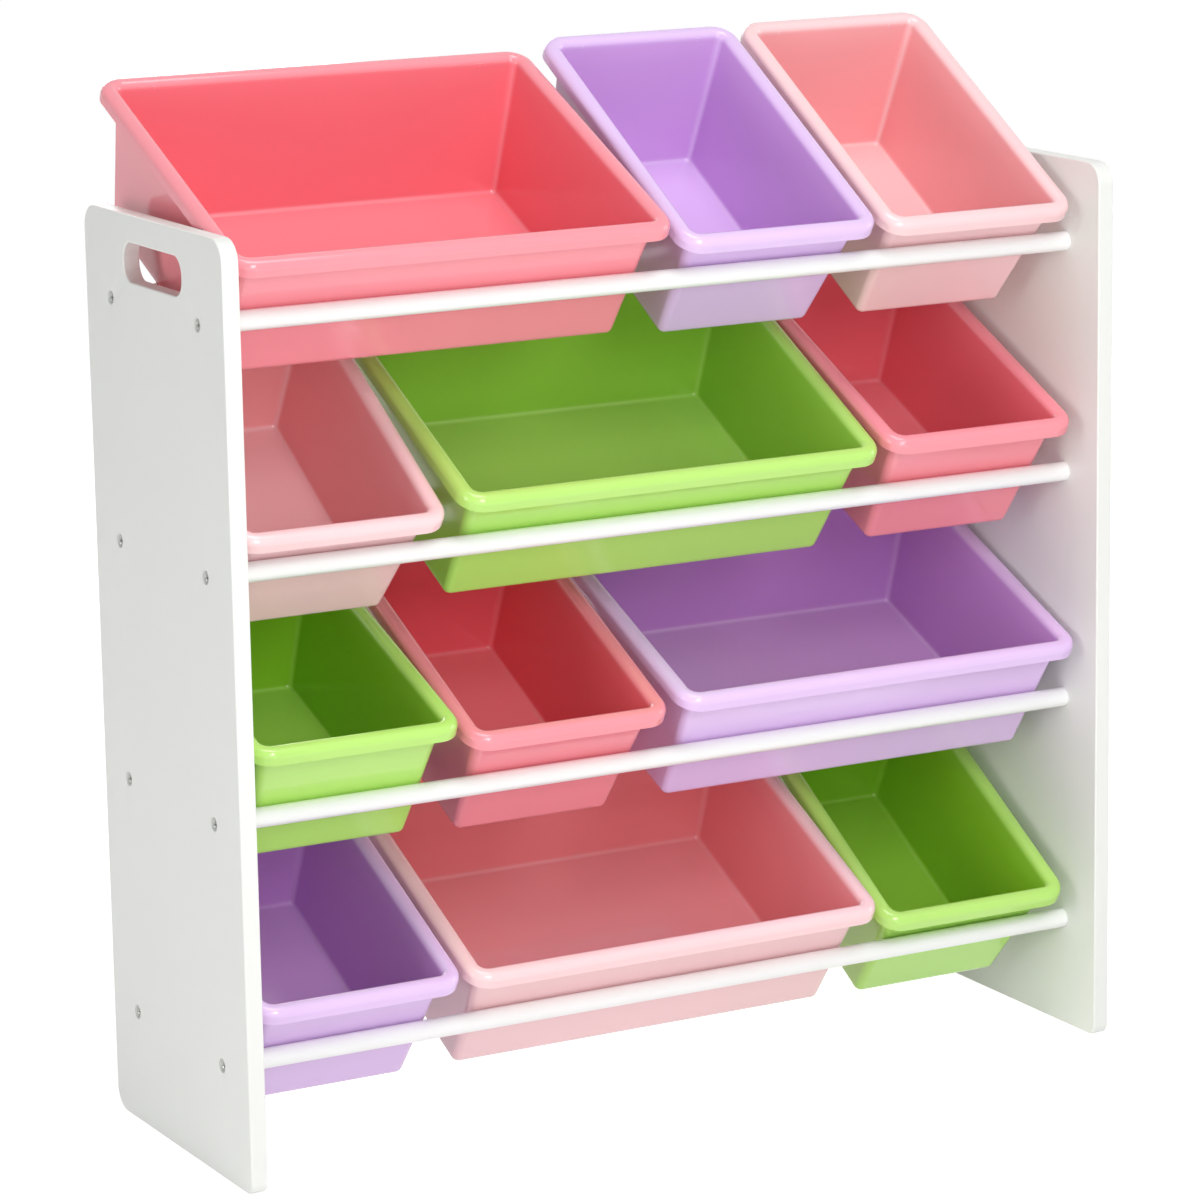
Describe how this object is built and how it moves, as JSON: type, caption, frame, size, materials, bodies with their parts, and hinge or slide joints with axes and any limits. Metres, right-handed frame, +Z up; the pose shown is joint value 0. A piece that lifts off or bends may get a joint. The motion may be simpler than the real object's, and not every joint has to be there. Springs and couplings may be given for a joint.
{
  "type": "toy storage organizer",
  "caption": "Low rack for a child's room: two white side panels joined by painted rods, with open flared plastic bins in two widths leaning forward on the rods.",
  "frame": {"origin": "on the floor, under the middle of the object's overall box", "axes": "+Z up; -Y is the open front, where the bins lean down; +X to the right of someone who faces the front"},
  "size_m": [0.847, 0.315, 0.9016],
  "materials": {
    "board_paint": "white satin paint on a wood-based board",
    "rod_paint": "white gloss paint on steel tube",
    "plug_plastic": "moulded, plain",
    "bolt_steel": "bright zinc plate",
    "bin_coral": "smooth gloss, moulded in colour",
    "bin_lavender": "smooth gloss, moulded in colour",
    "bin_light_pink": "smooth gloss, moulded in colour",
    "bin_green": "smooth gloss, moulded in colour"
  },
  "bodies": {
    "rack": {"left_side_panel": "board_paint", "left_rod_inserts": "plug_plastic", "left_panel_bolts": "bolt_steel", "right_side_panel": "board_paint", "right_rod_inserts": "plug_plastic", "right_panel_bolts": "bolt_steel", "front_rod_row1": "rod_paint", "rear_rod_row1": "rod_paint", "front_rod_row2": "rod_paint", "rear_rod_row2": "rod_paint", "front_rod_row3": "rod_paint", "rear_rod_row3": "rod_paint", "front_rod_row4": "rod_paint", "rear_rod_row4": "rod_paint"},
    "row1_left_bin": {"bin_row1_left_large": "bin_coral"},
    "row1_middle_bin": {"bin_row1_middle_small": "bin_lavender"},
    "row1_right_bin": {"bin_row1_right_small": "bin_light_pink"},
    "row2_left_bin": {"bin_row2_left_small": "bin_light_pink"},
    "row2_middle_bin": {"bin_row2_middle_large": "bin_green"},
    "row2_right_bin": {"bin_row2_right_small": "bin_coral"},
    "row3_left_bin": {"bin_row3_left_small": "bin_green"},
    "row3_middle_bin": {"bin_row3_middle_small": "bin_coral"},
    "row3_right_bin": {"bin_row3_right_large": "bin_lavender"},
    "row4_left_bin": {"bin_row4_left_small": "bin_lavender"},
    "row4_middle_bin": {"bin_row4_middle_large": "bin_light_pink"},
    "row4_right_bin": {"bin_row4_right_small": "bin_green"}
  },
  "joints": [
    {"name": "row1_left_bin_lift", "type": "slide", "parent": "rack", "child": "row1_left_bin", "axis": [0, -0.4163, 0.9092], "range_m": [0, 0.3]},
    {"name": "row1_middle_bin_lift", "type": "slide", "parent": "rack", "child": "row1_middle_bin", "axis": [0, -0.5045, 0.8634], "range_m": [0, 0.3]},
    {"name": "row1_right_bin_lift", "type": "slide", "parent": "rack", "child": "row1_right_bin", "axis": [0, -0.5105, 0.8599], "range_m": [0, 0.3]},
    {"name": "row2_left_bin_lift", "type": "slide", "parent": "rack", "child": "row2_left_bin", "axis": [0, -0.5255, 0.8508], "range_m": [0, 0.029]},
    {"name": "row2_middle_bin_lift", "type": "slide", "parent": "rack", "child": "row2_middle_bin", "axis": [0, -0.4493, 0.8934], "range_m": [0, 0.038]},
    {"name": "row2_right_bin_lift", "type": "slide", "parent": "rack", "child": "row2_right_bin", "axis": [0, -0.4131, 0.9107], "range_m": [0, 0.042]},
    {"name": "row3_left_bin_lift", "type": "slide", "parent": "rack", "child": "row3_left_bin", "axis": [0, -0.3486, 0.9373], "range_m": [0, 0.045]},
    {"name": "row3_middle_bin_lift", "type": "slide", "parent": "rack", "child": "row3_middle_bin", "axis": [0, -0.4274, 0.9041], "range_m": [0, 0.04]},
    {"name": "row3_right_bin_lift", "type": "slide", "parent": "rack", "child": "row3_right_bin", "axis": [0, -0.3859, 0.9225], "range_m": [0, 0.044]},
    {"name": "row4_left_bin_lift", "type": "slide", "parent": "rack", "child": "row4_left_bin", "axis": [0, -0.4195, 0.9078], "range_m": [0, 0.04]},
    {"name": "row4_middle_bin_lift", "type": "slide", "parent": "rack", "child": "row4_middle_bin", "axis": [0, -0.4242, 0.9056], "range_m": [0, 0.041]},
    {"name": "row4_right_bin_lift", "type": "slide", "parent": "rack", "child": "row4_right_bin", "axis": [0, -0.5075, 0.8616], "range_m": [0, 0.032]}
  ]
}
